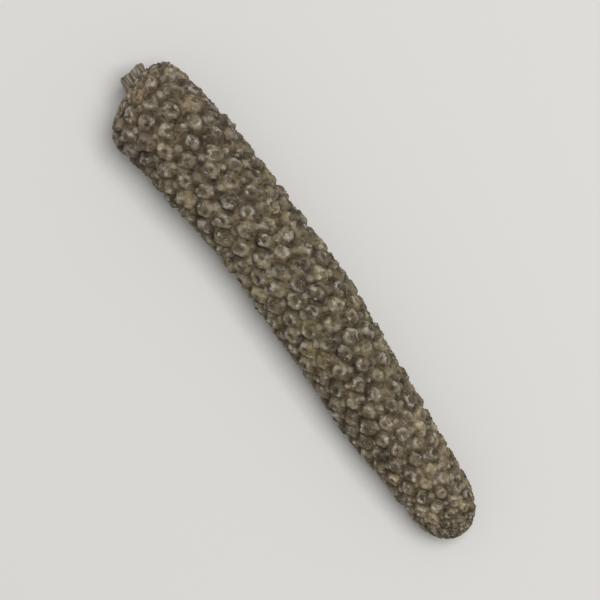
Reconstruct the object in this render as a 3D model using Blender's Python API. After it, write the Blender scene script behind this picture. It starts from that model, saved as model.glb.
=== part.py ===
"""A dried long pepper lying on its side: the spike of fused fruitlets, and the stub of its stalk.

Metres, +Z up. +X runs from the stalk to the tip, and +Y is the side that the spike bows to.
The origin is on the surface that it lies on, under the middle of its box.
"""

import math

import bmesh
import bpy
import numpy as np
from mathutils import Vector

# The spike, in metres. Places along it are measured from its stalk end.
SPIKE_LENGTH = 0.0412
DIAMETERS = (
    (0.0, 0.0072),
    (0.005, 0.0075),
    (0.013, 0.0069),
    (0.025, 0.0067),
    (0.032, 0.0061),
    (SPIKE_LENGTH, 0.0047),
)
BOW = (
    (0.0, 0.0),
    (0.008, 0.00095),
    (0.016, 0.0013),
    (0.024, 0.0010),
    (0.034, 0.0003),
    (SPIKE_LENGTH, 0.0),
)
SHOULDER_LENGTH = 0.0027
TIP_LENGTH = 0.0034
END_ROUNDNESS = 2.3
TIP_NUB_RADIUS = 0.00035
SHOULDER_SLANT = 0.25
SLANT_FADE = 0.005
OUTLINE_POINTS = 2001

# How far the section is from round: share of the radius, waves round it, waves along it.
LUMPS = ((0.018, 2, 0.7), (0.014, 1, 2.6), (0.012, 3, 1.7), (0.010, 2, 4.3))

# The fruitlets stand at the golden angle, so they form 5 flat spirals one way and 8 steep ones the other.
GOLDEN_ANGLE = math.pi * (3.0 - math.sqrt(5.0))
FLAT_STEP = 5
STEEP_STEP = 8
GIRTH_SQUARED_PER_FRUITLET = 190.0

# The relief of one fruitlet, as shares of the distance between neighbours.
RELIEF = 0.30
CROWN_POWER = 2.8
SCAR_DEPTH = 0.36
SCAR_RADIUS = 0.18
HEIGHT_SPREAD = 0.20
PLACE_SPREAD = 0.08
DRAWS = 512
SEED = 23

# The facets of one fruitlet: the ways to its six neighbours, as steps along the spirals, the place of the
# ring round its crown on the way out to its corners, and how near these come to where three grooves meet.
NEIGHBOURS = ((1, 0), (1, 1), (0, 1), (-1, 0), (-1, -1), (0, -1))
RING_PLACE = 0.5
CORNER_PLACE = 0.8
END_MARGIN = 4

# The lowest fruitlets are pressed flat by this much.
FLAT_SPOT_DEPTH = 0.00022

# The stalk, broken off short, in a shallow socket.
STALK_RADIUS = 0.00112
STALK_REACH = 0.0008
STALK_OFFSET = 0.0008
STALK_TILT = 0.22
STALK_SIDES = 24
STALK_RINGS = 7
STALK_RIBS = 6
RIB_HEIGHT = 0.07
STALK_WAIST = 0.10
BREAK_DEPTH = 0.00022
SOCKET_RADIUS = 0.00158
SOCKET_DEPTH = 0.0009
GAP = 0.0003

SPIKE_COLOUR = (0.125, 0.105, 0.072, 1.0)
STALK_COLOUR = (0.155, 0.130, 0.098, 1.0)
ROUGHNESS = 0.82


def clear_scene():
    for thing in list(bpy.data.objects):
        bpy.data.objects.remove(thing, do_unlink=True)


def plain_material(name, colour):
    material = bpy.data.materials.new(name)
    material.use_nodes = True
    shader = material.node_tree.nodes["Principled BSDF"]
    shader.inputs["Base Color"].default_value = colour
    shader.inputs["Roughness"].default_value = ROUGHNESS
    shader.inputs["Metallic"].default_value = 0.0
    return material


def curve_through(points, x):
    """A smooth curve through the points: cubic pieces whose slopes come from their neighbours."""
    places, values = np.array(points).T
    slopes = np.gradient(values, places)
    left = np.clip(np.searchsorted(places, x) - 1, 0, len(places) - 2)
    span = places[left + 1] - places[left]
    t = np.clip((x - places[left]) / span, 0.0, 1.0)
    start = (1.0 + 2.0 * t) * (1.0 - t) ** 2
    start_slope = t * (1.0 - t) ** 2
    end_slope = t ** 2 * (t - 1.0)
    return (
        start * values[left]
        + (1.0 - start) * values[left + 1]
        + span * (start_slope * slopes[left] + end_slope * slopes[left + 1])
    )


def rounded_end(distance, length):
    """0 at the very end and 1 past the rounding: a quarter of a superellipse."""
    missing = 1.0 - np.clip(distance / length, 0.0, 1.0)
    return (1.0 - missing ** END_ROUNDNESS) ** (1.0 / END_ROUNDNESS)


def barrel_radius(x):
    return curve_through(DIAMETERS, x) / 2.0


def outline():
    """The spike's profile from rim to tip: place, radius, outward normal and number of fruitlets so far."""
    x = SPIKE_LENGTH * (1.0 - np.cos(np.linspace(0.0, math.pi, OUTLINE_POINTS))) / 2.0
    radius = barrel_radius(x) * rounded_end(x, SHOULDER_LENGTH) * rounded_end(SPIKE_LENGTH - x, TIP_LENGTH)
    smallest = np.where(x < SPIKE_LENGTH / 2.0, SOCKET_RADIUS, TIP_NUB_RADIUS)
    x, radius = x[radius >= smallest], radius[radius >= smallest]
    step_x, step_radius = np.gradient(x), np.gradient(radius)
    step = np.hypot(step_x, step_radius)
    rate = GIRTH_SQUARED_PER_FRUITLET / (2.0 * math.pi * radius)
    pieces = (rate[1:] + rate[:-1]) / 2.0 * np.hypot(np.diff(x), np.diff(radius))
    count = np.concatenate(([0.0], np.cumsum(pieces)))
    return {"x": x, "radius": radius, "out_x": -step_radius / step, "out_r": step_x / step, "count": count}


def short_turn(steps):
    """The angle between a fruitlet and the one so many places on, the short way round."""
    turn = -steps * GOLDEN_ANGLE
    return (turn + math.pi) % (2.0 * math.pi) - math.pi


def lattice_plane():
    """One step along each spiral in the unrolled skin, where the distance between neighbours is about 1."""
    girth = math.sqrt(GIRTH_SQUARED_PER_FRUITLET)
    around = girth / (2.0 * math.pi)
    flat_way = (FLAT_STEP / girth, around * short_turn(FLAT_STEP))
    steep_way = (STEEP_STEP / girth, around * short_turn(STEEP_STEP))
    return np.array((flat_way, steep_way))


def drawn_fruitlets():
    """How high each fruitlet stands, and how far it is from its regular place."""
    draw = np.random.default_rng(SEED)
    height = 1.0 + HEIGHT_SPREAD * draw.uniform(-1.0, 1.0, DRAWS)
    shift = PLACE_SPREAD * draw.uniform(-1.0, 1.0, (DRAWS, 2))
    return height, shift


def groove_corner(one, other, third):
    """Near the point as far from each of three fruitlets, drawn in a little to the middle between them."""
    a, b = other - one, third - one
    a_squared, b_squared = (a ** 2).sum(axis=1), (b ** 2).sum(axis=1)
    even_along = b[:, 1] * a_squared - a[:, 1] * b_squared
    even_around = a[:, 0] * b_squared - b[:, 0] * a_squared
    twice = 2.0 * (a[:, 0] * b[:, 1] - a[:, 1] * b[:, 0])
    even = np.stack((even_along / twice, even_around / twice), axis=-1)
    middle = (a + b) / 3.0
    return one + middle + CORNER_PLACE * (even - middle)


def fruitlet_facets(total):
    """The points of all the fruitlets, as steps along both spirals, and the triangles between them.

    Each fruitlet has a middle, a ring of six points round its crown, and six corners in its grooves.
    A corner belongs to three fruitlets, so each one brings two, and finds its others by their numbers.
    """
    plane = lattice_plane()
    shift = drawn_fruitlets()[1]
    across = FLAT_STEP + STEEP_STEP
    number = np.arange(-END_MARGIN, math.floor(total) + END_MARGIN - across)
    steep = number * pow(STEEP_STEP, -1, FLAT_STEP) % FLAT_STEP
    regular = np.stack(((number - STEEP_STEP * steep) // FLAT_STEP, steep), axis=-1) @ plane

    def place(way):
        fruitlet = number + FLAT_STEP * way[0] + STEEP_STEP * way[1]
        return regular + np.array(way) @ plane + shift[fruitlet % DRAWS]

    middle = place((0, 0))
    around = [place(way) for way in NEIGHBOURS]
    corners = [groove_corner(middle, one, other) for one, other in zip(around, around[1:] + around[:1])]
    rings = [(middle + RING_PLACE * (corner - middle))[across:] for corner in corners]
    points = np.vstack((corners[0], corners[1], middle[across:], *rings))
    size = len(number)
    first, whole = np.arange(across, size), size - across
    second = first + size
    outer = (first, second, first - FLAT_STEP, second - across, first - across, second - STEEP_STEP)
    centre = 2 * size + np.arange(whole)
    inner = [centre + (k + 1) * whole for k in range(len(NEIGHBOURS))]
    triangles = []
    for k in range(len(NEIGHBOURS)):
        triangles.append(np.stack((centre, inner[k - 1], inner[k]), axis=-1))
        triangles.append(np.stack((inner[k - 1], outer[k - 1], outer[k]), axis=-1))
        triangles.append(np.stack((inner[k - 1], outer[k], inner[k]), axis=-1))
    flat, steep = (points @ np.linalg.inv(plane)).T
    return flat, steep, np.vstack(triangles)


def relief(flat, steep):
    """Height over the grooves, as a share of the distance between neighbours.

    It rises from the groove, where two fruitlets are equally near, to a crown with a small scar in it.
    """
    flat_way, steep_way = lattice_plane()
    home_flat, home_steep = np.round(flat).astype(int), np.round(steep).astype(int)
    height, shift = drawn_fruitlets()
    nearest = np.full(flat.shape, np.inf)
    second = np.full(flat.shape, np.inf)
    owner = np.zeros(flat.shape, dtype=int)
    for flat_side in (-1, 0, 1):
        for steep_side in (-1, 0, 1):
            i, j = home_flat + flat_side, home_steep + steep_side
            fruitlet = (FLAT_STEP * i + STEEP_STEP * j) % DRAWS
            x = (flat - i) * flat_way[0] + (steep - j) * steep_way[0] - shift[fruitlet, 0]
            y = (flat - i) * flat_way[1] + (steep - j) * steep_way[1] - shift[fruitlet, 1]
            distance = np.hypot(x, y)
            closer = distance < nearest
            second = np.where(closer, nearest, np.minimum(second, distance))
            owner = np.where(closer, fruitlet, owner)
            nearest = np.where(closer, distance, nearest)
    rise = np.clip(second - nearest, 0.0, 1.0)
    crown = 1.0 - (1.0 - rise) ** CROWN_POWER
    scar = SCAR_DEPTH * np.exp(-((nearest / SCAR_RADIUS) ** 2))
    return RELIEF * height[owner] * (crown - scar)


def out_of_round(x, angle):
    """The section's reach at an angle from the top, as a share of the radius."""
    turns = 2.0 * math.pi * x / SPIKE_LENGTH
    waves = (share * np.cos(around * (angle + along) + turns * along) for share, around, along in LUMPS)
    return 1.0 + sum(waves)


def axis_height(x):
    """The axis follows the radius, so that the spike lies along its underside and not on its ends."""
    return barrel_radius(x) * out_of_round(x, math.pi)


def spike_points(profile, flat, steep):
    """Points on the spike's surface, lying along +X, with the lowest fruitlets pressed flat at z = 0."""
    count = FLAT_STEP * flat + STEEP_STEP * steep
    angle = flat * short_turn(FLAT_STEP) + steep * short_turn(STEEP_STEP)
    wanted = ("x", "radius", "out_x", "out_r")
    x, radius, out_x, out_r = (np.interp(count, profile["count"], profile[key]) for key in wanted)
    spacing = 2.0 * math.pi * radius / math.sqrt(GIRTH_SQUARED_PER_FRUITLET)
    height = spacing * (relief(flat, steep) - RELIEF)
    reach = radius * out_of_round(x, angle) + height * out_r
    side = reach * np.sin(angle)
    slant = SHOULDER_SLANT * np.exp(-((x / SLANT_FADE) ** 2))
    kick = STALK_OFFSET * np.exp(-x / STALK_RADIUS)
    points = np.stack(
        (
            x + height * out_x - slant * side,
            curve_through(BOW, x) + kick + side,
            axis_height(x) + reach * np.cos(angle),
        ),
        axis=-1,
    )
    floor = points[:, 2].min() + FLAT_SPOT_DEPTH
    points[:, 2] = np.maximum(points[:, 2], floor) - floor
    return points, floor


def close_with_point(shape, edges):
    """Closes a loop of edges with a fan of triangles round its middle."""
    corners = list(dict.fromkeys(corner for edge in edges for corner in edge.verts))
    middle = sum((corner.co for corner in corners), Vector()) / len(corners)
    centre = shape.verts.new(middle)
    for edge in edges:
        shape.faces.new((*edge.verts, centre))
    return centre


def finish_object(name, shape, colour):
    bmesh.ops.recalc_face_normals(shape, faces=shape.faces[:])
    mesh = bpy.data.meshes.new(name)
    shape.to_mesh(mesh)
    shape.free()
    mesh.shade_smooth()
    mesh.materials.append(plain_material(name, colour))
    thing = bpy.data.objects.new(name, mesh)
    bpy.context.scene.collection.objects.link(thing)
    return thing


def make_spike():
    profile = outline()
    flat, steep, triangles = fruitlet_facets(profile["count"][-1])
    points, floor = spike_points(profile, flat, steep)
    mesh = bpy.data.meshes.new("spike_surface")
    mesh.from_pydata(points.tolist(), [], triangles.tolist())
    shape = bmesh.new()
    shape.from_mesh(mesh)
    bpy.data.meshes.remove(mesh)
    rim = [edge for edge in shape.edges if edge.is_boundary and edge.verts[0].co.x < SPIKE_LENGTH / 2.0]
    tip = [edge for edge in shape.edges if edge.is_boundary and edge.verts[0].co.x > SPIKE_LENGTH / 2.0]
    close_with_point(shape, tip)
    wall = bmesh.ops.extrude_edge_only(shape, edges=rim)["geom"]
    inner = [part for part in wall if isinstance(part, bmesh.types.BMVert)]
    inner_edges = [part for part in wall if isinstance(part, bmesh.types.BMEdge)]
    for corner in inner:
        corner.co.x = SOCKET_DEPTH
    close_with_point(shape, inner_edges)
    bmesh.ops.triangulate(shape, faces=[face for face in shape.faces if len(face.verts) > 3])
    return finish_object("fruit_spike", shape, SPIKE_COLOUR), floor


def make_stalk(floor):
    """A ribbed stub: rings along the stalk, from the socket out to the break."""
    draw = np.random.default_rng(SEED)
    break_depth = BREAK_DEPTH * draw.uniform(0.0, 1.0, STALK_SIDES)
    angle = np.linspace(0.0, 2.0 * math.pi, STALK_SIDES, endpoint=False)
    radius = STALK_RADIUS * (1.0 + RIB_HEIGHT * np.cos(STALK_RIBS * angle))
    root = SOCKET_DEPTH - GAP
    share = np.linspace(0.0, 1.0, STALK_RINGS)[:, None]
    along = root + share * (-STALK_REACH - root) + share ** 4 * break_depth
    reach = radius * (1.0 - STALK_WAIST * np.sin(math.pi * share))
    side = STALK_OFFSET - STALK_TILT * along + reach * np.sin(angle)
    height = axis_height(np.zeros_like(along)) - floor + reach * np.cos(angle)
    shape = bmesh.new()
    rings = [[shape.verts.new(point) for point in zip(*ring)] for ring in zip(along, side, height)]
    for ring, following in zip(rings[:-1], rings[1:]):
        for k in range(STALK_SIDES):
            shape.faces.new((ring[k], ring[k - 1], following[k - 1], following[k]))
    ends = [edge for edge in shape.edges if edge.is_boundary]
    inside = [edge for edge in ends if edge.verts[0].co.x > 0.0]
    outside = [edge for edge in ends if edge.verts[0].co.x < 0.0]
    close_with_point(shape, inside)
    close_with_point(shape, outside).co.x += BREAK_DEPTH
    bmesh.ops.triangulate(shape, faces=[face for face in shape.faces if len(face.verts) > 3])
    return finish_object("stalk_stub", shape, STALK_COLOUR)


def centre_on_origin(things):
    """Moves the meshes together, so that the middle of their box is over the origin."""
    corners = np.array([corner.co[:2] for thing in things for corner in thing.data.vertices])
    middle = (corners.min(axis=0) + corners.max(axis=0)) / 2.0
    for thing in things:
        for corner in thing.data.vertices:
            corner.co.x -= middle[0]
            corner.co.y -= middle[1]


clear_scene()
fruit_spike, floor_height = make_spike()
stalk_stub = make_stalk(floor_height)
centre_on_origin((fruit_spike, stalk_stub))
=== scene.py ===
"""The looks of a dried long pepper: its wrinkled fruitlets, its stalk, the light and the camera."""
import math

import bpy
import numpy as np
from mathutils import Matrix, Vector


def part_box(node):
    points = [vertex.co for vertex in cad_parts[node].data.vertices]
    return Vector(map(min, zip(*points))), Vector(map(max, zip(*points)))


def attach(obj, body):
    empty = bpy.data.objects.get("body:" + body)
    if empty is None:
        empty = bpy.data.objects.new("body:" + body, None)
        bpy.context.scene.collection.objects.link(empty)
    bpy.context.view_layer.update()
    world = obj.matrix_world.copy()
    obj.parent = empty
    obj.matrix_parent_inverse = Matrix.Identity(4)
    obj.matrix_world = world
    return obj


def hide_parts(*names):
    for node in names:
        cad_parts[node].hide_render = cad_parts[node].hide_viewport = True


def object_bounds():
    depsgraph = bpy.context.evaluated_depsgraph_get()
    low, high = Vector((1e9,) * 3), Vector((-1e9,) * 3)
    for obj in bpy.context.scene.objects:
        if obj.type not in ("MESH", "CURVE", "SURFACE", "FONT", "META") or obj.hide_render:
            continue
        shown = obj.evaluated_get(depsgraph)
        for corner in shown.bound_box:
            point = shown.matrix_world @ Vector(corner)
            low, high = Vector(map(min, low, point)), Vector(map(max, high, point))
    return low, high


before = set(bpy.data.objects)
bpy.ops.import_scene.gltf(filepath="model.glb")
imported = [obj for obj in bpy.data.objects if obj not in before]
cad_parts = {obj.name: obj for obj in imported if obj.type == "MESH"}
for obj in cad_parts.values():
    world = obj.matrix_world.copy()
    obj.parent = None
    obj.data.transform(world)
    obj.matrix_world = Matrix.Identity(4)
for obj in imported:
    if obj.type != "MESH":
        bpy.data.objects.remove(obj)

solid_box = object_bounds()

FULL_TURN = 2.0 * math.pi

# The spike, in metres. Places along it are measured from its stalk end.
SPIKE_LENGTH = 0.0412
DIAMETERS = (
    (0.0, 0.0072),
    (0.005, 0.0075),
    (0.013, 0.0069),
    (0.025, 0.0067),
    (0.032, 0.0061),
    (SPIKE_LENGTH, 0.0047),
)
BOW = (
    (0.0, 0.0),
    (0.008, 0.00095),
    (0.016, 0.0013),
    (0.024, 0.0010),
    (0.034, 0.0003),
    (SPIKE_LENGTH, 0.0),
)
OUTLINE_POINTS = 2001

# Its rounded ends, and the slant of its shoulder to one side with the length over which that fades.
SHOULDER_LENGTH = 0.0027
TIP_LENGTH = 0.0034
END_ROUNDNESS = 2.3
TIP_NUB_RADIUS = 0.00035
SHOULDER_SLANT = 0.25
SLANT_FADE = 0.005

# How far the section is from round: share of the radius, waves round it, waves along it.
LUMPS = ((0.018, 2, 0.7), (0.014, 1, 2.6), (0.012, 3, 1.7), (0.010, 2, 4.3))

# The fruitlets stand at the golden angle, so they form 5 flat spirals one way and 8 steep ones the other.
GOLDEN_ANGLE = math.pi * (3.0 - math.sqrt(5.0))
FLAT_STEP = 5
STEEP_STEP = 8

# How many of them stand on a stretch of the spike that is as long as its girth.
GIRTH_SQUARED_PER_FRUITLET = 190.0

# The relief of one fruitlet, as shares of the distance between neighbours. The power makes its crown blunt.
RELIEF = 0.30
CROWN_POWER = 2.8
SCAR_RADIUS = 0.18
PLACE_SPREAD = 0.08

# How deep the scar in a crown is, and how much the fruitlets differ in height, as shares of the height.
SCAR_DEPTH = 0.36
HEIGHT_SPREAD = 0.20

# For how many fruitlets there are draws, and the seeds for the fruitlets, their fine skins and the bracts.
DRAWS = 512
SEED = 23
SKIN_SEED = 123
BRACT_SEED = 223

# The solids' facets: the ways to a fruitlet's six neighbours, and the places of its ring and corners.
NEIGHBOURS = ((1, 0), (1, 1), (0, 1), (-1, 0), (-1, -1), (0, -1))
RING_PLACE = 0.5
CORNER_PLACE = 0.8

# How many fruitlets past either end they go on, and how far the spike is pressed flat below, in metres.
END_MARGIN = 4
FLAT_SPOT_DEPTH = 0.00022

# The fine skin's grid steps from one fruitlet to the next.
FINE_STEPS = 14

# It rounds each fruitlet off: how far out that ends, how steep it is there, and how sharply it gives way.
ROUND_REACH = 0.57
ROUND_SLOPE = 2.0
ROUND_SHARPNESS = 14.0

# The pit in each crown and the rim round it, as shares of the distance between neighbours.
PIT_DEPTH = 0.05
PIT_RADIUS = 0.07
PIT_SPREAD = 0.07
RIM_HEIGHT = 0.030
RIM_PLACE = 0.25
RIM_WIDTH = 0.080

# How they vary, as factors: the deepest pit, the rims' places, and how much higher two sides of a rim are.
DEEPEST_PIT = 1.4
RIM_PLACE_RANGE = (0.85, 1.2)
RIM_UNEVENNESS = 0.5

# The puckers outside the rim: height and width as such shares, place as a factor of the rim's, and folds.
PUCKER_HEIGHT = 0.022
PUCKER_WIDTH = 0.16
PUCKER_PLACE = 1.3
FEWEST_FOLDS = 5
MOST_FOLDS = 8

# Pale dust lies on one side of each rim: its least and greatest strength, and how narrow its arc is.
DUST_RANGE = (0.2, 1.0)
DUST_NARROWNESS = 1.5

# The bracts in the gaps: their height and its spread, and how deep a hollow is, as shares of the relief.
BRACT_TOP = 0.56
BRACT_TOP_SPREAD = 0.16
BRACT_HOLLOW = 0.10

# Their radius and the spread of their places as shares of the distance, and their sizes as factors.
BRACT_RADIUS = 0.175
BRACT_SPREAD = 0.08
BRACT_SIZE_RANGE = (0.6, 1.25)
BRACT_EDGE_SHARPNESS = 10.0

# How pale they are, from least to most, and the height over which that colour fades in as they come through.
BRACT_PALENESS_RANGE = (0.1, 1.0)
BRACT_FADE = 0.03

# Wrinkles over the whole skin: their sizes in metres, and how much each size counts.
WRINKLES = ((0.0011, 0.8), (0.0006, 1.0), (0.00034, 0.9))

# Their depth as a share of the distance between neighbours, and how many waves make a wandering field.
WRINKLE_DEPTH = 0.056
WAVES_PER_FIELD = 28

# The stalk, broken off short, in a shallow socket.
STALK_RADIUS = 0.00112
STALK_REACH = 0.0008
STALK_OFFSET = 0.0008
STALK_TILT = 0.22
STALK_WAIST = 0.10
STALK_SIDES = 144
STALK_RINGS = 40
SOCKET_RADIUS = 0.00158
SOCKET_DEPTH = 0.0009
ROOT_GAP = 0.00005

# Its ribs: a few broad ones, and many fine ones that turn along it. Heights are shares of its radius.
BROAD_RIBS = 6
BROAD_RIB_HEIGHT = 0.07
FINE_RIBS = 17
FINE_RIB_HEIGHT = 0.03
FINE_RIB_TURN = 2.0

# Its break, and the waves of the break's edge: share of the depth, number round the stalk, start.
BREAK_DEPTH = 0.00022
BREAK_RINGS = 22
BREAK_WAVES = ((0.28, 2, 1.1), (0.16, 5, 0.4), (0.10, 11, 2.0))

# How far the edge is rounded, as a share of the radius, and the size and height of the break's grain.
BREAK_ROUNDING = 0.16
BREAK_GRAIN_SIZE = 0.00035
BREAK_GRAIN_HEIGHT = 0.00004

# How close to the edge the stalk begins to tear and to round off, and the grain to fade, as powers.
TEAR_POWER = 4
ROUNDING_POWER = 12
GRAIN_POWER = 6

# The skin runs in round the stalk as a lip, to this far from the stalk's middle and this much deeper.
THROAT_RADIUS = 0.00123
THROAT_DEPTH = 0.00025

# Noises in the finishes: waves per metre, octaves of detail, and how rough that detail is.
BLOTCHES = (260.0, 2.0, 0.55)
MOTTLE = (1500.0, 4.0, 0.6)
GRAIN = (7000.0, 3.0, 0.6)
DUST = (1900.0, 3.0, 0.6)
SPECKLE = (1050.0, 1.0, 0.5)
FLECKS = (2300.0, 2.0, 0.6)
STALK_GRAIN = (5200.0, 3.0, 0.55)

# The fibres' noise is stretched: its waves per metre along X, Y and Z.
FIBRES = (1.0, 3.0, 0.55)
FIBRE_STRETCH = (700.0, 5200.0, 5200.0)

# The skin's own colours, from the darkest mottling to the palest.
SKIN_COLOURS = (
    (0.30, (0.042, 0.0315, 0.018)),
    (0.45, (0.104, 0.085, 0.056)),
    (0.58, (0.151, 0.1265, 0.086)),
    (0.72, (0.258, 0.222, 0.158)),
)

# What they are multiplied by along the spike, from its stalk end to its tip.
ALONG_FACTORS = (
    (0.0, (1.42, 1.32, 1.36)),
    (0.12, (1.06, 1.01, 1.00)),
    (0.3, (1.03, 1.01, 0.96)),
    (0.6, (1.09, 1.09, 0.99)),
    (0.85, (1.07, 1.01, 0.95)),
    (1.0, (1.20, 1.15, 1.06)),
)

# What they are multiplied by from the darkest fruitlet to the palest.
TONE_FACTORS = (
    (0.0, (0.64, 0.60, 0.56)),
    (0.35, (0.92, 0.91, 0.89)),
    (0.75, (1.05, 1.06, 1.04)),
    (1.0, (1.38, 1.34, 1.24)),
)

# What they are multiplied by over blotches, speckle and dark flecks, and by painted shade, darkest in the
# grooves and fading out up to the crowns.
BLOTCH_FACTORS = ((0.35, (0.86, 0.84, 0.80)), (0.65, (1.12, 1.13, 1.12)))
SPECKLE_FACTORS = ((0.36, (0.61, 0.58, 0.51)), (0.5, 0.92), (0.64, (1.31, 1.32, 1.36)))
FLECK_FACTORS = ((0.37, (0.47, 0.44, 0.36)), (0.45, 1.0))
GROOVE_SHADE_FACTORS = ((0.0, (0.71, 0.67, 0.57)), (0.35, (0.88, 0.86, 0.82)), (0.75, 1.0))

# Dust on rims, by the grain, and on crowns, by patches and by height: how much of it shows, and its colours.
RIM_SHARES = ((0.36, 0.25), (0.60, 1.0))
RIM_COLOUR = (0.35, 0.32, 0.262)
PATCH_SHARES = ((0.55, 0.0), (0.64, 1.0))
CROWN_SHARES = ((0.25, 0.15), (0.75, 0.6))
CROWN_COLOUR = (0.43, 0.40, 0.335)

# Pale bracts, by the grain, and painted shade in the pits: how much of their colours shows.
BRACT_SHARES = ((0.38, 0.35), (0.60, 0.95))
BRACT_COLOUR = (0.29, 0.258, 0.198)
PIT_SHADE_SHARE = 0.85
PIT_SHADE_COLOUR = (0.022, 0.016, 0.010)

# The skin's roughness over its mottling, its gloss, and how deep its mottling and grain are, in metres.
SKIN_ROUGHNESS = ((0.3, 0.62), (0.7, 0.88))
SKIN_GLOSS = 0.35
MOTTLE_DEPTH = 0.00010
GRAIN_DEPTH = 0.00008

# The stalk's colours, over its fibres and over the grain of its break.
FIBRE_COLOURS = (
    (0.34, (0.070, 0.052, 0.036)),
    (0.5, (0.150, 0.124, 0.092)),
    (0.66, (0.270, 0.232, 0.176)),
)
BREAK_COLOURS = ((0.35, (0.100, 0.074, 0.048)), (0.6, (0.300, 0.250, 0.180)))

# The stalk's roughness and gloss, and how deep its fibres and grain are, in metres.
STALK_ROUGHNESS = 0.85
STALK_GLOSS = 0.3
FIBRE_DEPTH = 0.00005
STALK_GRAIN_DEPTH = 0.00003

# The floor reaches this far from the middle on every side.
FLOOR_HALF = 1.5
FLOOR_COLOUR = (0.58, 0.57, 0.55, 1.0)
FLOOR_ROUGHNESS = 0.9

# One square lamp above the spike and to one side, in metres and watts, and a pale sky.
LAMP_PLACE = (0.02, 0.10, 0.41)
LAMP_SIZE = 0.22
LAMP_POWER = 1.56
SKY_COLOUR = (1.0, 0.99, 0.97, 1.0)
SKY_STRENGTH = 0.43

# The photograph looks straight down, with the spike running from upper left to lower right.
PICTURE_TURN = math.radians(53.0)
FIELD_WIDTH = 0.0440
LENS = 180.0
SENSOR = 36.0
NEAREST_SEEN = 0.005
FURTHEST_SEEN = 10.0


def curve_through(points, x):
    """A smooth curve through the points: cubic pieces whose slopes come from their neighbours."""
    places, values = np.array(points).T
    slopes = np.gradient(values, places)
    left = np.clip(np.searchsorted(places, x) - 1, 0, len(places) - 2)
    span = places[left + 1] - places[left]
    t = np.clip((x - places[left]) / span, 0.0, 1.0)
    start = (1.0 + 2.0 * t) * (1.0 - t) ** 2
    start_slope = t * (1.0 - t) ** 2
    end_slope = t ** 2 * (t - 1.0)
    return (
        start * values[left]
        + (1.0 - start) * values[left + 1]
        + span * (start_slope * slopes[left] + end_slope * slopes[left + 1])
    )


def rounded_end(distance, length):
    """0 at the very end and 1 past the rounding: a quarter of a superellipse."""
    missing = 1.0 - np.clip(distance / length, 0.0, 1.0)
    return (1.0 - missing ** END_ROUNDNESS) ** (1.0 / END_ROUNDNESS)


def barrel_radius(x):
    """Half of the smooth curve through the diameters."""
    return curve_through(DIAMETERS, x) / 2.0


def outline():
    """The spike's profile from rim to tip: place, radius, outward normal, and fruitlets so far.

    That count grows as the distance along the profile over the girth, so fruitlets shrink with the girth.
    """
    x = SPIKE_LENGTH * (1.0 - np.cos(np.linspace(0.0, math.pi, OUTLINE_POINTS))) / 2.0
    radius = barrel_radius(x) * rounded_end(x, SHOULDER_LENGTH) * rounded_end(SPIKE_LENGTH - x, TIP_LENGTH)
    smallest = np.where(x < SPIKE_LENGTH / 2.0, SOCKET_RADIUS, TIP_NUB_RADIUS)
    x, radius = x[radius >= smallest], radius[radius >= smallest]
    step_x, step_radius = np.gradient(x), np.gradient(radius)
    step = np.hypot(step_x, step_radius)
    rate = GIRTH_SQUARED_PER_FRUITLET / (FULL_TURN * radius)
    pieces = (rate[1:] + rate[:-1]) / 2.0 * np.hypot(np.diff(x), np.diff(radius))
    count = np.concatenate(([0.0], np.cumsum(pieces)))
    return {"x": x, "radius": radius, "out_x": -step_radius / step, "out_r": step_x / step, "count": count}


def short_turn(steps):
    """The angle between a fruitlet and the one so many places on, the short way round."""
    turn = -steps * GOLDEN_ANGLE
    return (turn + math.pi) % FULL_TURN - math.pi


def spiral_grid(total, steps):
    """Grid points along both spirals, as shares of a fruitlet, and the triangles between them.

    Columns follow the flat spirals. The last column meets the first one, so many rows further on.
    """
    columns = FLAT_STEP * steps
    seam_shift = STEEP_STEP * steps
    rows = np.arange(-seam_shift, math.ceil(total * steps / FLAT_STEP) + 1)
    flat, steep = np.meshgrid(rows / steps, np.arange(columns) / steps, indexing="ij")
    count = FLAT_STEP * flat + STEEP_STEP * steep
    used = (count >= 0.0) & (count <= total)
    number = np.full(flat.shape, -1)
    number[used] = np.arange(used.sum())
    seam = np.full((len(rows), 1), -1)
    seam[:-seam_shift, 0] = number[seam_shift:, 0]
    number = np.hstack((number, seam))
    near, far = number[:-1], number[1:]
    one = np.stack((near[:, :-1], far[:, 1:], far[:, :-1]), axis=-1).reshape(-1, 3)
    other = np.stack((near[:, :-1], near[:, 1:], far[:, 1:]), axis=-1).reshape(-1, 3)
    triangles = np.vstack((one, other))
    return flat[used], steep[used], triangles[(triangles >= 0).all(axis=1)]


def lattice_plane():
    """One step along each spiral in the unrolled skin, where the distance between neighbours is about 1."""
    girth = math.sqrt(GIRTH_SQUARED_PER_FRUITLET)
    around = girth / FULL_TURN
    flat_way = (FLAT_STEP / girth, around * short_turn(FLAT_STEP))
    steep_way = (STEEP_STEP / girth, around * short_turn(STEEP_STEP))
    return np.array((flat_way, steep_way))


def drawn_fruitlets():
    """How high each fruitlet stands, and how far it is from its regular place."""
    draw = np.random.default_rng(SEED)
    height = 1.0 + HEIGHT_SPREAD * draw.uniform(-1.0, 1.0, DRAWS)
    shift = PLACE_SPREAD * draw.uniform(-1.0, 1.0, (DRAWS, 2))
    return height, shift


def drawn_bracts():
    """How far each bract is from its regular place, and how large it is."""
    draw = np.random.default_rng(BRACT_SEED)
    shift = BRACT_SPREAD * draw.uniform(-1.0, 1.0, (DRAWS, 2))
    size = draw.uniform(*BRACT_SIZE_RANGE, DRAWS)
    return shift, size


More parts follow.
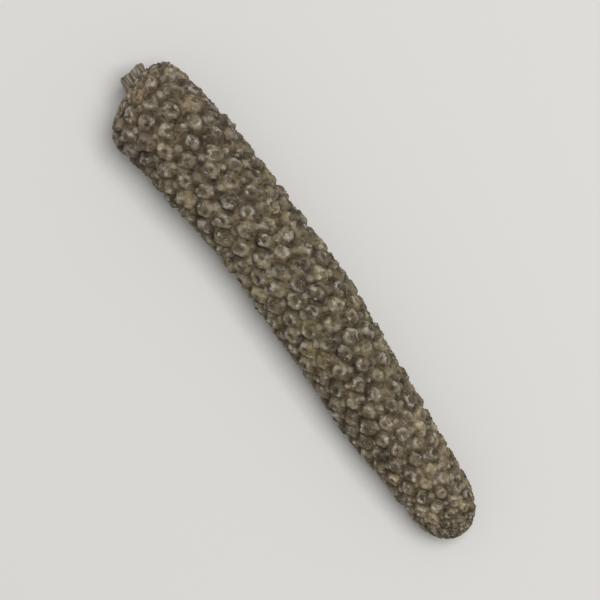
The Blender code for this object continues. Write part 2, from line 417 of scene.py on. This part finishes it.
def drawn_skins():
    """How the fine skin differs from one crown to the next, and from one bract to the next.

    A pit's depth goes with the square of its draw, so most pits are shallow.
    """
    draw = np.random.default_rng(SKIN_SEED)
    crowns = {
        "folds": draw.integers(FEWEST_FOLDS, MOST_FOLDS + 1, DRAWS),
        "turn": draw.uniform(0.0, FULL_TURN, DRAWS),
        "rim_place": RIM_PLACE * draw.uniform(*RIM_PLACE_RANGE, DRAWS),
        "pit_depth": DEEPEST_PIT * draw.uniform(0.0, 1.0, DRAWS) ** 2.0,
        "pit_shift": PIT_SPREAD * draw.uniform(-1.0, 1.0, (DRAWS, 2)),
        "tone": draw.uniform(0.0, 1.0, DRAWS),
        "dusty_side": draw.uniform(0.0, FULL_TURN, DRAWS),
        "dust": draw.uniform(*DUST_RANGE, DRAWS),
    }
    bracts = {
        "paleness": draw.uniform(*BRACT_PALENESS_RANGE, DRAWS),
        "top": BRACT_TOP + BRACT_TOP_SPREAD * draw.uniform(-1.0, 1.0, DRAWS),
    }
    return crowns, bracts


def groove_corner(one, other, third):
    """Near the point as far from each of three fruitlets, drawn in a little to the middle between them."""
    a, b = other - one, third - one
    a_squared, b_squared = (a ** 2).sum(axis=1), (b ** 2).sum(axis=1)
    even_along = b[:, 1] * a_squared - a[:, 1] * b_squared
    even_around = a[:, 0] * b_squared - b[:, 0] * a_squared
    twice = 2.0 * (a[:, 0] * b[:, 1] - a[:, 1] * b[:, 0])
    even = np.stack((even_along / twice, even_around / twice), axis=-1)
    middle = (a + b) / 3.0
    return one + middle + CORNER_PLACE * (even - middle)


def solid_corners(total):
    """The corners of the solids' facets, as steps along both spirals.

    Each fruitlet has its middle, a ring part of the way out, and two of the corners that it shares.
    """
    plane = lattice_plane()
    shift = drawn_fruitlets()[1]
    across = FLAT_STEP + STEEP_STEP
    number = np.arange(-END_MARGIN, math.floor(total) + END_MARGIN - across)
    steep = number * pow(STEEP_STEP, -1, FLAT_STEP) % FLAT_STEP
    regular = np.stack(((number - STEEP_STEP * steep) // FLAT_STEP, steep), axis=-1) @ plane

    def place(way):
        """Where the fruitlets are that stand this many steps along both spirals from the numbered ones."""
        fruitlet = number + FLAT_STEP * way[0] + STEEP_STEP * way[1]
        return regular + np.array(way) @ plane + shift[fruitlet % DRAWS]

    middle = place((0, 0))
    around = [place(way) for way in NEIGHBOURS]
    corners = [groove_corner(middle, one, other) for one, other in zip(around, around[1:] + around[:1])]
    rings = [(middle + RING_PLACE * (corner - middle))[across:] for corner in corners]
    points = np.vstack((corners[0], corners[1], middle[across:], *rings))
    return (points @ np.linalg.inv(plane)).T


def nearest_fruitlets(flat, steep):
    """For each point: its own fruitlet, the way from it, the rise out of the groove, and the nearest bract.

    The rise is how much further the second nearest fruitlet is than the nearest one. A bract stands half
    way to the next fruitlet along each flat spiral, where four grooves come together.
    """
    flat_way, steep_way = lattice_plane()
    gap_way = flat_way / 2.0
    home_flat, home_steep = np.round(flat).astype(int), np.round(steep).astype(int)
    height, shift = drawn_fruitlets()
    bract_shift, bract_size = drawn_bracts()
    nearest = np.full(flat.shape, np.inf)
    second = np.full(flat.shape, np.inf)
    bract = np.full(flat.shape, np.inf)
    owner = np.zeros(flat.shape, dtype=int)
    bract_owner = np.zeros(flat.shape, dtype=int)
    along = np.zeros(flat.shape)
    around = np.zeros(flat.shape)
    for flat_side in (-1, 0, 1):
        for steep_side in (-1, 0, 1):
            i, j = home_flat + flat_side, home_steep + steep_side
            fruitlet = (FLAT_STEP * i + STEEP_STEP * j) % DRAWS
            regular_x = (flat - i) * flat_way[0] + (steep - j) * steep_way[0]
            regular_y = (flat - i) * flat_way[1] + (steep - j) * steep_way[1]
            bract_x = regular_x - gap_way[0] - bract_shift[fruitlet, 0]
            bract_y = regular_y - gap_way[1] - bract_shift[fruitlet, 1]
            bract_distance = np.hypot(bract_x, bract_y) / bract_size[fruitlet]
            bract_owner = np.where(bract_distance < bract, fruitlet, bract_owner)
            bract = np.minimum(bract, bract_distance)
            x, y = regular_x - shift[fruitlet, 0], regular_y - shift[fruitlet, 1]
            distance = np.hypot(x, y)
            closer = distance < nearest
            second = np.where(closer, nearest, np.minimum(second, distance))
            owner = np.where(closer, fruitlet, owner)
            along = np.where(closer, x, along)
            around = np.where(closer, y, around)
            nearest = np.where(closer, distance, nearest)
    return {
        "owner": owner,
        "along": along,
        "around": around,
        "near": nearest,
        "rise": np.clip(second - nearest, 0.0, 1.0),
        "height": height[owner],
        "bract": bract,
        "bract_owner": bract_owner,
    }


def bump(distance, radius):
    """1 at the middle, falling off as a bell."""
    return np.exp(-((distance / radius) ** 2))


def relief(cell, rise):
    """The relief from the groove, where two fruitlets are equally near, to a crown with a scar in it.

    The crown is 1 less a power of what the rise falls short of 1, and the scar is a bell.
    """
    crown = 1.0 - (1.0 - rise) ** CROWN_POWER
    scar = SCAR_DEPTH * bump(cell["near"], SCAR_RADIUS)
    return RELIEF * cell["height"] * (crown - scar)


def rounded_off(cell):
    """The rise, held under a slope that falls to 0 all round, so that no fruitlet has sharp corners.

    The smaller of the two is taken softly, as the logarithm of the sum of their falling exponentials.
    """
    slope = ROUND_SLOPE * (ROUND_REACH - cell["near"])
    smaller = -np.logaddexp(-ROUND_SHARPNESS * cell["rise"], -ROUND_SHARPNESS * slope) / ROUND_SHARPNESS
    return np.clip(smaller, 0.0, 1.0)


def waves(places, size, seed):
    """A field that wanders about 0: the sum of plane waves of one length that run in drawn directions."""
    draw = np.random.default_rng(seed)
    way = draw.normal(size=(3, WAVES_PER_FIELD))
    way *= FULL_TURN / size / np.linalg.norm(way, axis=0)
    phase = draw.uniform(0.0, FULL_TURN, WAVES_PER_FIELD)
    return np.cos(places @ way + phase).sum(axis=1) / math.sqrt(WAVES_PER_FIELD / 2.0)


def creases(places):
    """Sharp folds where each wandering field passes through 0, summed over the sizes of wrinkle."""
    total = np.zeros(len(places))
    for number, (size, share) in enumerate(WRINKLES):
        field = waves(places, size, SEED + number)
        total += share * (1.0 - np.minimum(np.abs(field), 1.0)) ** 2
    return total / sum(share for size, share in WRINKLES)


def fine_relief(cell, places):
    """The relief with its fine skin, and the masks that its colours follow.

    Each crown is rounded off. It has a pit a little off its middle, a rim round that which is higher on two
    sides, and puckers further out as waves round the crown. Bracts are discs with a hollow that rise out of
    the gaps. The higher of crown and bract is the surface, and creases cut into all of it. Dust on a rim is
    thickest on its drawn side, and there is none on the other.
    """
    crowns, bracts = drawn_skins()
    own = {key: values[cell["owner"]] for key, values in crowns.items()}
    near_bract = {key: values[cell["bract_owner"]] for key, values in bracts.items()}
    angle = np.arctan2(cell["around"], cell["along"])
    pucker_distance = cell["near"] - PUCKER_PLACE * own["rim_place"]
    pucker = np.cos(own["folds"] * angle + own["turn"]) * bump(pucker_distance, PUCKER_WIDTH)
    two_sides = 1.0 + RIM_UNEVENNESS * np.cos(2.0 * angle + own["turn"])
    rim = bump(cell["near"] - own["rim_place"], RIM_WIDTH) * two_sides
    pit_distance = np.hypot(cell["along"] - own["pit_shift"][:, 0], cell["around"] - own["pit_shift"][:, 1])
    pit = bump(pit_distance, PIT_RADIUS) * own["pit_depth"]
    crown = relief(cell, rounded_off(cell)) + RIM_HEIGHT * rim - PIT_DEPTH * pit + PUCKER_HEIGHT * pucker
    disc = 1.0 / (1.0 + np.exp((cell["bract"] / BRACT_RADIUS - 1.0) * BRACT_EDGE_SHARPNESS))
    hollow = BRACT_HOLLOW * bump(cell["bract"], BRACT_RADIUS / 2.0)
    bract = RELIEF * (near_bract["top"] * disc - hollow)
    bract_shows = np.clip((bract - crown) / BRACT_FADE + 0.5, 0.0, 1.0) * disc
    dusty_arc = (0.5 + 0.5 * np.cos(angle - own["dusty_side"])) ** DUST_NARROWNESS
    masks = {
        # The pit mask carries the painted shade in the pits.
        "pit": np.clip(pit, 0.0, 1.0),
        "rim": np.clip(rim, 0.0, 1.0) * own["dust"] * dusty_arc,
        "bract": bract_shows * near_bract["paleness"],
        "tone": own["tone"],
    }
    return np.maximum(crown, bract) - WRINKLE_DEPTH * creases(places), masks


def out_of_round(x, angle):
    """The section's reach over the radius: 1 and a few waves that run round and along the spike."""
    turns = FULL_TURN * x / SPIKE_LENGTH
    lumps = (share * np.cos(around * (angle + along) + turns * along) for share, around, along in LUMPS)
    return 1.0 + sum(lumps)


def axis_height(x):
    """The axis follows the radius, so that the spike lies along its underside and not on its ends."""
    return barrel_radius(x) * out_of_round(x, math.pi)


def plain_spike(profile, flat, steep):
    """What steps along both spirals come to: the profile at that count of fruitlets, and the angle."""
    count = FLAT_STEP * flat + STEEP_STEP * steep
    wanted = ("x", "radius", "out_x", "out_r")
    plain = {key: np.interp(count, profile["count"], profile[key]) for key in wanted}
    plain["angle"] = flat * short_turn(FLAT_STEP) + steep * short_turn(STEEP_STEP)
    return plain


def spike_points(plain, share):
    """Points of the spike's surface before it is set down.

    A point stands one radius from the axis at its angle from the top, drawn in along the outward normal by
    what its relief falls short of the full one. The axis bows and kicks sideways, and the shoulder slants.
    """
    x, radius, angle = plain["x"], plain["radius"], plain["angle"]
    spacing = FULL_TURN * radius / math.sqrt(GIRTH_SQUARED_PER_FRUITLET)
    height = spacing * (share - RELIEF)
    reach = radius * out_of_round(x, angle) + height * plain["out_r"]
    side = reach * np.sin(angle)
    slant = SHOULDER_SLANT * np.exp(-((x / SLANT_FADE) ** 2))
    kick = STALK_OFFSET * np.exp(-x / STALK_RADIUS)
    return np.stack(
        (
            x + height * plain["out_x"] - slant * side,
            curve_through(BOW, x) + kick + side,
            axis_height(x) + reach * np.cos(angle),
        ),
        axis=-1,
    )


def coarse_spike(profile):
    """The solid's own points, with the plain relief, before it is set down."""
    steps = solid_corners(profile["count"][-1])
    cell = nearest_fruitlets(*steps)
    return spike_points(plain_spike(profile, *steps), relief(cell, cell["rise"]))


def fine_spike(profile):
    """The fine skin's points before it is set down, its triangles, and the masks for its colours.

    The creases read places on the plain spike, before its relief and its bow.
    """
    flat, steep, triangles = spiral_grid(profile["count"][-1], FINE_STEPS)
    plain = plain_spike(profile, flat, steep)
    x, radius, angle = plain["x"], plain["radius"], plain["angle"]
    places = np.stack((x, radius * np.sin(angle), radius * np.cos(angle)), axis=-1)
    share, masks = fine_relief(nearest_fruitlets(flat, steep), places)
    masks["place"] = x / SPIKE_LENGTH
    # The share of the relief also sets the painted shade in the grooves, and the dust on crowns.
    masks["crown"] = np.clip(share / RELIEF, 0.0, 1.0)
    return spike_points(plain, share), triangles, masks


def open_edges(triangles, size):
    """The edges with a triangle on one side only, each turned the way its missing triangle needs."""
    start, end = triangles.reshape(-1), np.roll(triangles, -1, axis=1).reshape(-1)
    alone = ~np.isin(start * size + end, end * size + start)
    return np.stack((end[alone], start[alone]), axis=-1)


def wall(edge, far_edge):
    """Two triangles between each edge of one loop and the same edge of the next."""
    one = np.column_stack((edge, far_edge[:, 1]))
    other = np.column_stack((edge[:, 0], far_edge[:, 1], far_edge[:, 0]))
    return np.vstack((one, other))


def stalk_axis(x):
    """The stalk's middle at a place along it: sideways by a straight tilt, and up by a fixed height."""
    return np.stack((STALK_OFFSET - STALK_TILT * x, np.full_like(x, axis_height(np.zeros(1))[0])), axis=-1)


def close_spike(points, triangles, masks):
    """Closes the tip with a fan, and the stalk end with a lip round the stalk, a wall and a fan.

    The lip runs in from the rim to one distance all round the stalk, and the wall goes down to the socket.
    """
    edges = open_edges(triangles, len(points))
    at_tip = points[edges[:, 0], 0] > SPIKE_LENGTH / 2.0
    tip, rim = edges[at_tip], edges[~at_tip]
    ring, place = np.unique(rim, return_inverse=True)
    throat = len(points) + place.reshape(rim.shape)
    foot = throat + len(ring)
    x = points[ring, 0]
    outward = points[ring, 1:] - stalk_axis(x)
    outward *= THROAT_RADIUS / np.linalg.norm(outward, axis=1)[:, None]
    throat_points = np.column_stack((x + THROAT_DEPTH, stalk_axis(x + THROAT_DEPTH) + outward))
    deep = np.full_like(x, SOCKET_DEPTH)
    foot_points = np.column_stack((deep, stalk_axis(deep) + outward))
    tip_point = len(points) + 2 * len(ring)
    tip_fan = np.column_stack((tip, np.full(len(tip), tip_point)))
    foot_fan = np.column_stack((foot, np.full(len(foot), tip_point + 1)))
    ends = points[np.unique(tip)].mean(axis=0), foot_points.mean(axis=0)
    points = np.vstack((points, throat_points, foot_points, *ends))
    triangles = np.vstack((triangles, wall(rim, throat), wall(throat, foot), tip_fan, foot_fan))
    last = np.concatenate((ring, ring, tip[:1, 0], ring[:1]))
    masks = {key: np.concatenate((values, values[last])) for key, values in masks.items()}
    # The lip takes the share of a groove, and with it the darkest painted groove shade.
    masks["crown"][throat] = 0.0
    return points, triangles, masks


def new_piece(name, points, faces, masks, material):
    """An object at the origin, with its place in its mesh and each mask as a value at every point."""
    mesh = bpy.data.meshes.new(name)
    mesh.from_pydata(points.tolist(), [], faces.tolist())
    for key, values in masks.items():
        mesh.attributes.new(key, "FLOAT", "POINT").data.foreach_set("value", values.astype(np.float32))
    mesh.shade_smooth()
    mesh.materials.append(material)
    thing = bpy.data.objects.new(name, mesh)
    bpy.context.scene.collection.objects.link(thing)
    return thing


def make_spike(material):
    """The fine skin, set down where the solid is: both have the same coarse surface.

    The solid's own points and the solid's box say how far that is. What comes below z = 0 is pressed flat.
    """
    profile = outline()
    solid = coarse_spike(profile)
    floor = solid[:, 2].min() + FLAT_SPOT_DEPTH
    low = np.array(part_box("fruit_spike")[0])
    move = np.array((low[0] - solid[:, 0].min(), low[1] - solid[:, 1].min(), -floor))
    points, faces, masks = close_spike(*fine_spike(profile))
    points = points + move
    points[:, 2] = np.maximum(points[:, 2], 0.0)
    return new_piece("spike_skin", points, faces, masks, material), move


def stalk_side(angle):
    """Place and reach of the side's rings, from the socket out to the break.

    The reach is the radius with ribs on it, times a waist that is narrowest half way and a rounding at the
    break. The last rings follow the torn edge, whose height wanders with a few waves round the stalk.
    """
    edge_waves = sum(share * np.cos(around * angle + start) for share, around, start in BREAK_WAVES)
    root = SOCKET_DEPTH - ROOT_GAP
    share = np.linspace(0.0, 1.0, STALK_RINGS)[:, None]
    torn = share ** TEAR_POWER * (BREAK_DEPTH * (0.5 + edge_waves))
    along = root + share * (-STALK_REACH - root) + torn
    fine_ribs = FINE_RIB_HEIGHT * np.cos(FINE_RIBS * angle + FINE_RIB_TURN * share)
    ribs = 1.0 + BROAD_RIB_HEIGHT * np.cos(BROAD_RIBS * angle) + fine_ribs
    waist = 1.0 - STALK_WAIST * np.sin(math.pi * share)
    rounding = 1.0 - BREAK_ROUNDING * share ** ROUNDING_POWER
    return along, STALK_RADIUS * ribs * waist * rounding


def stalk_break(angle, edge, edge_reach):
    """Place and reach of the break's rings, which close in from its edge to its middle.

    They run from the edge's own height to the mean one and sink as a shallow bowl. A grain of small waves
    lies on them, and fades towards the edge.
    """
    inner = np.linspace(1.0, 0.0, BREAK_RINGS + 1)[1:-1, None]
    reach = edge_reach * inner
    places = np.stack(np.broadcast_arrays(reach * np.sin(angle), reach * np.cos(angle), 0.0), axis=-1)
    grain = waves(places.reshape(-1, 3), BREAK_GRAIN_SIZE, SEED).reshape(reach.shape)
    sunk = BREAK_DEPTH * (1.0 - inner ** 2) + BREAK_GRAIN_HEIGHT * grain * (1.0 - inner ** GRAIN_POWER)
    return edge * inner + edge.mean() * (1.0 - inner) + sunk, reach


def ringed_faces(rows, sides):
    """Two triangles between neighbours on each pair of rings, and a fan to a middle point at either end."""
    number = np.arange(rows * sides).reshape(rows, sides)
    after = np.roll(number, -1, axis=1)
    near, far, near_after, far_after = number[:-1], number[1:], after[:-1], after[1:]
    one = np.stack((near, far_after, far), axis=-1).reshape(-1, 3)
    other = np.stack((near, near_after, far_after), axis=-1).reshape(-1, 3)
    first_fan = np.stack((after[0], number[0], np.full(sides, rows * sides)), axis=-1)
    last_fan = np.stack((number[-1], after[-1], np.full(sides, rows * sides + 1)), axis=-1)
    return np.vstack((one, other, first_fan, last_fan))


def make_stalk(move, material):
    """Rings round the stalk's axis, the side's and then the break's, closed at the root and in the break."""
    angle = np.linspace(0.0, FULL_TURN, STALK_SIDES, endpoint=False)
    side, side_reach = stalk_side(angle)
    inner, inner_reach = stalk_break(angle, side[-1], side_reach[-1])
    along, reach = np.vstack((side, inner)), np.vstack((side_reach, inner_reach))
    across = np.stack((reach * np.sin(angle), reach * np.cos(angle)), axis=-1)
    rings = np.concatenate((along[..., None], stalk_axis(along) + across), axis=-1)
    points = np.vstack((rings.reshape(-1, 3), rings[0].mean(axis=0), rings[-1].mean(axis=0))) + move
    broken = np.zeros(along.shape)
    broken[STALK_RINGS - 1:] = 1.0
    broken = np.concatenate((broken.reshape(-1), [0.0, 1.0]))
    return new_piece("stalk_fibres", points, ringed_faces(*along.shape), {"broken": broken}, material)


class Nodes:
    """Short calls that add nodes to one material and join them."""

    def __init__(self, name):
        self.material = bpy.data.materials.new(name)
        self.material.use_nodes = True
        self.tree = self.material.node_tree
        self.shader = self.tree.nodes["Principled BSDF"]
        self.coordinates = self.tree.nodes.new("ShaderNodeTexCoord").outputs["Object"]

    def join(self, source, target):
        """Joins an output to an input."""
        self.tree.links.new(source, target)

    def fill(self, source, socket):
        """Sets an input to a colour or a number, or joins an output to it."""
        if isinstance(source, tuple):
            socket.default_value = (*source, 1.0)
        elif isinstance(source, float):
            socket.default_value = source
        else:
            self.join(source, socket)

    def attribute(self, name):
        """The mask of this name, from the mesh's points."""
        node = self.tree.nodes.new("ShaderNodeAttribute")
        node.attribute_name = name
        return node.outputs["Fac"]

    def stretched(self, scale):
        """The object's coordinates, each times its own number."""
        node = self.tree.nodes.new("ShaderNodeMapping")
        node.inputs["Scale"].default_value = scale
        self.join(self.coordinates, node.inputs["Vector"])
        return node.outputs["Vector"]

    def noise(self, scale, detail, roughness, vector=None):
        """Noise in the object's coordinates, or in the stretched ones given."""
        node = self.tree.nodes.new("ShaderNodeTexNoise")
        node.inputs["Scale"].default_value = scale
        node.inputs["Detail"].default_value = detail
        node.inputs["Roughness"].default_value = roughness
        self.join(self.coordinates if vector is None else vector, node.inputs["Vector"])
        return node.outputs["Fac"]

    def ramp(self, source, stops):
        """Blends from stop to stop: each has a place and a colour, or a place and one number for a grey."""
        node = self.tree.nodes.new("ShaderNodeValToRGB")
        elements = node.color_ramp.elements
        while len(elements) < len(stops):
            elements.new(0.5)
        for element, (place, colour) in zip(elements, stops):
            element.position = place
            element.color = (*colour, 1.0) if isinstance(colour, tuple) else (colour, colour, colour, 1.0)
        self.join(source, node.inputs["Fac"])
        return node.outputs["Color"]

    def mix(self, first, second, share, blend="MIX"):
        """Blends two colours. The node's inputs 0, 6 and 7 are the share and the two colours."""
        node = self.tree.nodes.new("ShaderNodeMix")
        node.data_type = "RGBA"
        node.blend_type = blend
        self.fill(share, node.inputs[0])
        self.fill(first, node.inputs[6])
        self.fill(second, node.inputs[7])
        return node.outputs[2]

    def times(self, first, second):
        """One value times another one, or times a number."""
        node = self.tree.nodes.new("ShaderNodeMath")
        node.operation = "MULTIPLY"
        self.fill(first, node.inputs[0])
        self.fill(second, node.inputs[1])
        return node.outputs[0]

    def bump(self, source, depth, before=None):
        """Slight roughness: the source as a height of this many metres, on top of what went before."""
        node = self.tree.nodes.new("ShaderNodeBump")
        node.inputs["Strength"].default_value = 1.0
        node.inputs["Distance"].default_value = depth
        self.join(source, node.inputs["Height"])
        if before is not None:
            self.join(before, node.inputs["Normal"])
        return node.outputs["Normal"]


def fruitlet_material():
    """Dry skin: mottled olive grey-brown, with painted shade in the grooves and pits, dusty pale on rims and
    bracts.
    """
    made = Nodes("fruitlet_skin")
    mottle = made.noise(*MOTTLE)
    grain = made.noise(*GRAIN)
    skin = made.ramp(mottle, SKIN_COLOURS)
    shades = (
        (made.attribute("place"), ALONG_FACTORS),
        (made.attribute("tone"), TONE_FACTORS),
        (made.noise(*BLOTCHES), BLOTCH_FACTORS),
        (made.noise(*SPECKLE), SPECKLE_FACTORS),
        (made.noise(*FLECKS), FLECK_FACTORS),
        # The crown mask sets the painted groove shade: darkest in the grooves, none on the crowns.
        (made.attribute("crown"), GROOVE_SHADE_FACTORS),
    )
    for source, factors in shades:
        skin = made.mix(skin, made.ramp(source, factors), 1.0, "MULTIPLY")
    rim = made.times(made.attribute("rim"), made.ramp(grain, RIM_SHARES))
    patches = made.ramp(made.noise(*DUST), PATCH_SHARES)
    crown = made.times(made.ramp(made.attribute("crown"), CROWN_SHARES), patches)
    bract = made.times(made.attribute("bract"), made.ramp(grain, BRACT_SHARES))
    # Painted shade in the pits: near black where each pit is deepest.
    pit = made.times(made.attribute("pit"), PIT_SHADE_SHARE)
    layers = ((rim, RIM_COLOUR), (crown, CROWN_COLOUR), (bract, BRACT_COLOUR), (pit, PIT_SHADE_COLOUR))
    for share, colour in layers:
        skin = made.mix(skin, colour, share)
    made.join(skin, made.shader.inputs["Base Color"])
    made.join(made.ramp(mottle, SKIN_ROUGHNESS), made.shader.inputs["Roughness"])
    made.shader.inputs["Specular IOR Level"].default_value = SKIN_GLOSS
    mottled = made.bump(mottle, MOTTLE_DEPTH)
    made.join(made.bump(grain, GRAIN_DEPTH, mottled), made.shader.inputs["Normal"])
    return made.material


def stalk_material():
    """Dry fibres along the stalk, pale and grainy at the break."""
    made = Nodes("stalk_skin")
    fibres = made.noise(*FIBRES, vector=made.stretched(FIBRE_STRETCH))
    grain = made.noise(*STALK_GRAIN)
    side, torn = made.ramp(fibres, FIBRE_COLOURS), made.ramp(grain, BREAK_COLOURS)
    made.join(made.mix(side, torn, made.attribute("broken")), made.shader.inputs["Base Color"])
    made.shader.inputs["Roughness"].default_value = STALK_ROUGHNESS
    made.shader.inputs["Specular IOR Level"].default_value = STALK_GLOSS
    fibrous = made.bump(fibres, FIBRE_DEPTH)
    made.join(made.bump(grain, STALK_GRAIN_DEPTH, fibrous), made.shader.inputs["Normal"])
    return made.material


def floor_material():
    """Plain, pale and matt."""
    made = Nodes("pale_floor")
    made.shader.inputs["Base Color"].default_value = FLOOR_COLOUR
    made.shader.inputs["Roughness"].default_value = FLOOR_ROUGHNESS
    return made.material


def make_floor():
    """One large square at z = 0, with its face up."""
    square = np.array(((-1.0, -1.0, 0.0), (1.0, -1.0, 0.0), (1.0, 1.0, 0.0), (-1.0, 1.0, 0.0)))
    return new_piece("floor", FLOOR_HALF * square, np.array(((0, 1, 2, 3),)), {}, floor_material())


def light_scene():
    """A square lamp that faces the origin, and an even sky."""
    lamp = bpy.data.lights.new("key_light", "AREA")
    lamp.size = LAMP_SIZE
    lamp.energy = LAMP_POWER
    thing = bpy.data.objects.new("key_light", lamp)
    x, y, z = LAMP_PLACE
    thing.location = LAMP_PLACE
    thing.rotation_euler = (math.atan2(math.hypot(x, y), z), 0.0, math.atan2(x, -y))
    bpy.context.scene.collection.objects.link(thing)
    world = bpy.data.worlds.new("soft_sky")
    world.use_nodes = True
    sky = world.node_tree.nodes["Background"]
    sky.inputs["Color"].default_value = SKY_COLOUR
    sky.inputs["Strength"].default_value = SKY_STRENGTH
    bpy.context.scene.world = world
    bpy.context.scene.view_settings.view_transform = "Standard"


def make_camera():
    """Straight over the middle of the solids' box, turned so that +X runs down to the right."""
    camera = bpy.data.cameras.new("camera")
    camera.lens = LENS
    camera.sensor_width = SENSOR
    camera.clip_start = NEAREST_SEEN
    camera.clip_end = FURTHEST_SEEN
    thing = bpy.data.objects.new("camera", camera)
    middle = (np.array(solid_box[0]) + np.array(solid_box[1])) / 2.0
    thing.location = (middle[0], middle[1], middle[2] + FIELD_WIDTH * LENS / SENSOR)
    thing.rotation_euler = (0.0, 0.0, PICTURE_TURN)
    bpy.context.scene.collection.objects.link(thing)
    bpy.context.scene.camera = thing


make_camera()
light_scene()
make_floor()

spike_skin, set_down = make_spike(fruitlet_material())
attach(spike_skin, "root")
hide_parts("fruit_spike")

stalk_fibres = make_stalk(set_down, stalk_material())
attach(stalk_fibres, "root")
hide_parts("stalk_stub")
